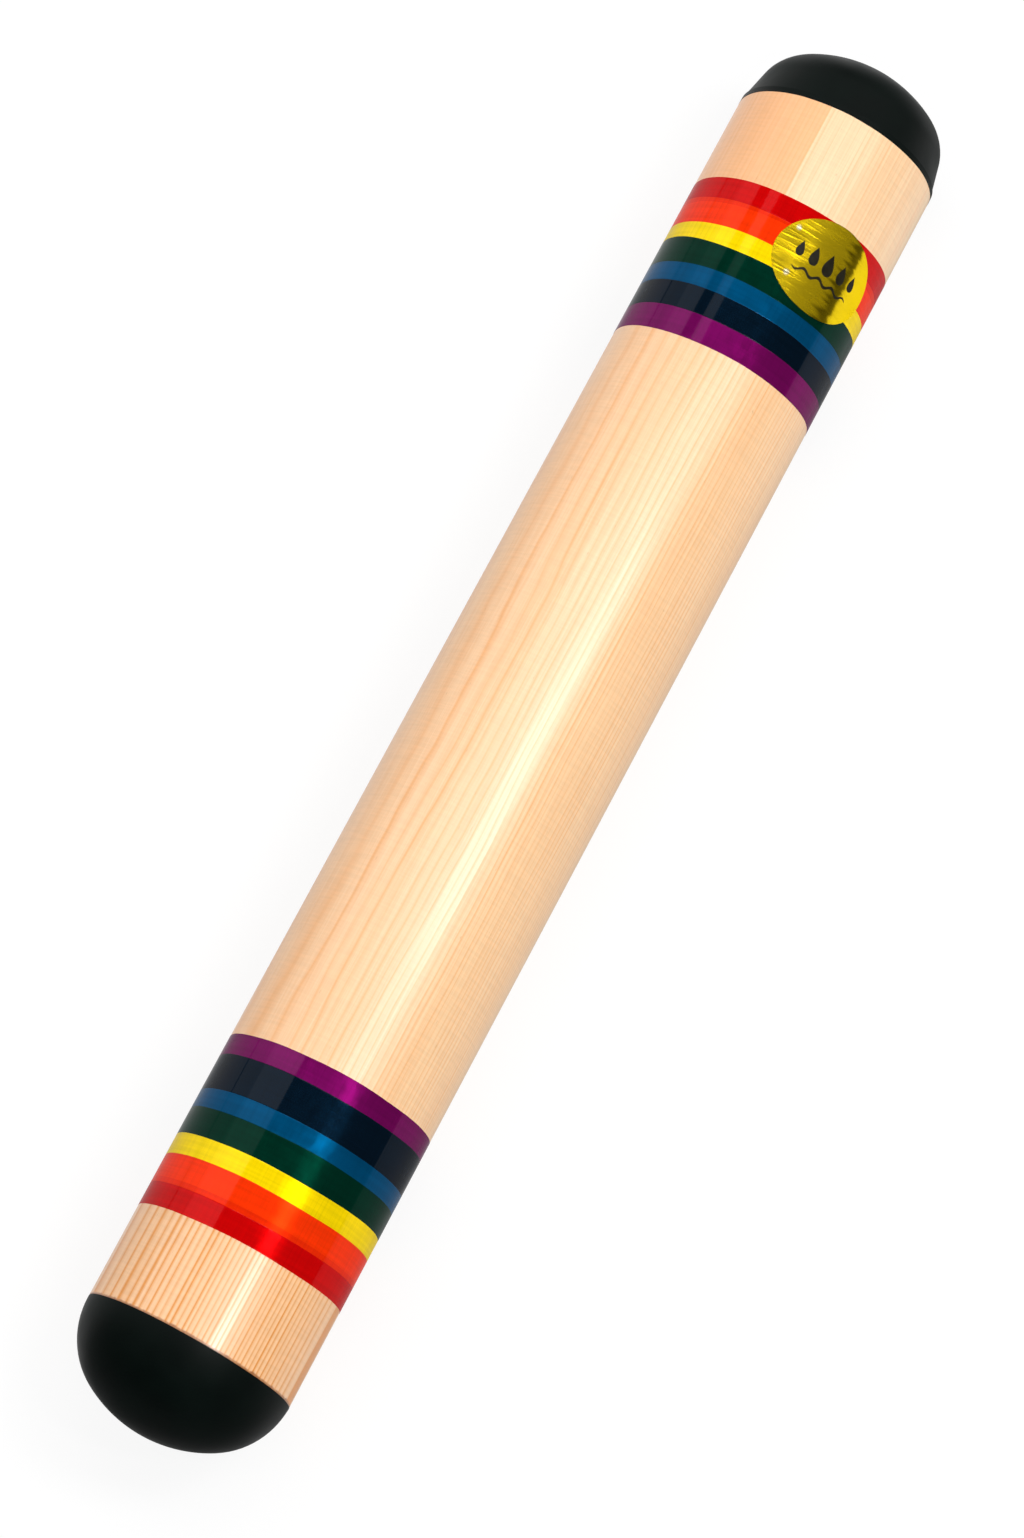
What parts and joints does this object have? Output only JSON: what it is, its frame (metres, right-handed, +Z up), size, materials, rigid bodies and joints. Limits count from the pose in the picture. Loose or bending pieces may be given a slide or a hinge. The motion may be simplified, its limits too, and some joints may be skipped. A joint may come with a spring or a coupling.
{
  "type": "wooden rainstick",
  "caption": "Round wooden rainstick: a bored, lacquered softwood tube with rainbow bands and black domed ends, and loose steel balls that trickle through a spiral of pins inside.",
  "frame": {"origin": "middle of the line along the underside of the tube that the stick rests on, halfway between its two domes", "axes": "+X along the stick to the end with the foil label, +Z up, +Y across, away from the label"},
  "size_m": [0.4064, 0.0568, 0.0573],
  "materials": {
    "softwood_tube": "gloss",
    "softwood_end": "gloss",
    "black_dip": "satin",
    "gold_foil": "gloss",
    "birch": "matte",
    "brass_pin": "satin",
    "steel_ball": "polished",
    "paint_red": "gloss",
    "paint_orange": "gloss",
    "paint_yellow": "gloss",
    "paint_green": "gloss",
    "paint_blue": "gloss",
    "paint_navy": "gloss",
    "paint_purple": "gloss"
  },
  "bodies": {
    "stick": {"centre_tube": "softwood_tube", "end_piece_labelled": "softwood_end", "end_piece_plain": "softwood_end", "dome_coat_labelled": "black_dip", "dome_coat_plain": "black_dip", "foil_label": "gold_foil", "core_rod": "birch", "pin_01": "brass_pin", "pin_02": "brass_pin", "pin_03": "brass_pin", "pin_04": "brass_pin", "pin_05": "brass_pin", "pin_06": "brass_pin", "pin_07": "brass_pin", "pin_08": "brass_pin", "pin_09": "brass_pin", "pin_10": "brass_pin", "pin_11": "brass_pin", "pin_12": "brass_pin", "pin_13": "brass_pin", "pin_14": "brass_pin", "pin_15": "brass_pin", "pin_16": "brass_pin", "pin_17": "brass_pin", "pin_18": "brass_pin", "pin_19": "brass_pin", "pin_20": "brass_pin", "pin_21": "brass_pin", "pin_22": "brass_pin", "pin_23": "brass_pin", "pin_24": "brass_pin", "pin_25": "brass_pin", "pin_26": "brass_pin", "pin_27": "brass_pin"},
    "left_ball_row": {"ball_left_1": "steel_ball", "ball_left_2": "steel_ball", "ball_left_3": "steel_ball", "ball_left_4": "steel_ball", "ball_left_5": "steel_ball", "ball_left_6": "steel_ball", "ball_left_7": "steel_ball", "ball_left_8": "steel_ball"},
    "middle_ball_row": {"ball_middle_1": "steel_ball", "ball_middle_2": "steel_ball", "ball_middle_3": "steel_ball", "ball_middle_4": "steel_ball", "ball_middle_5": "steel_ball", "ball_middle_6": "steel_ball", "ball_middle_7": "steel_ball", "ball_middle_8": "steel_ball"},
    "right_ball_row": {"ball_right_1": "steel_ball", "ball_right_2": "steel_ball", "ball_right_3": "steel_ball", "ball_right_4": "steel_ball", "ball_right_5": "steel_ball", "ball_right_6": "steel_ball", "ball_right_7": "steel_ball", "ball_right_8": "steel_ball"}
  },
  "joints": [
    {"name": "left_row_slide", "type": "slide", "parent": "stick", "child": "left_ball_row", "axis": [1, 0, 0], "range_m": [0, 0.191]},
    {"name": "middle_row_slide", "type": "slide", "parent": "stick", "child": "middle_ball_row", "axis": [1, 0, 0], "range_m": [0, 0.191]},
    {"name": "right_row_slide", "type": "slide", "parent": "stick", "child": "right_ball_row", "axis": [1, 0, 0], "range_m": [0, 0.191]}
  ]
}
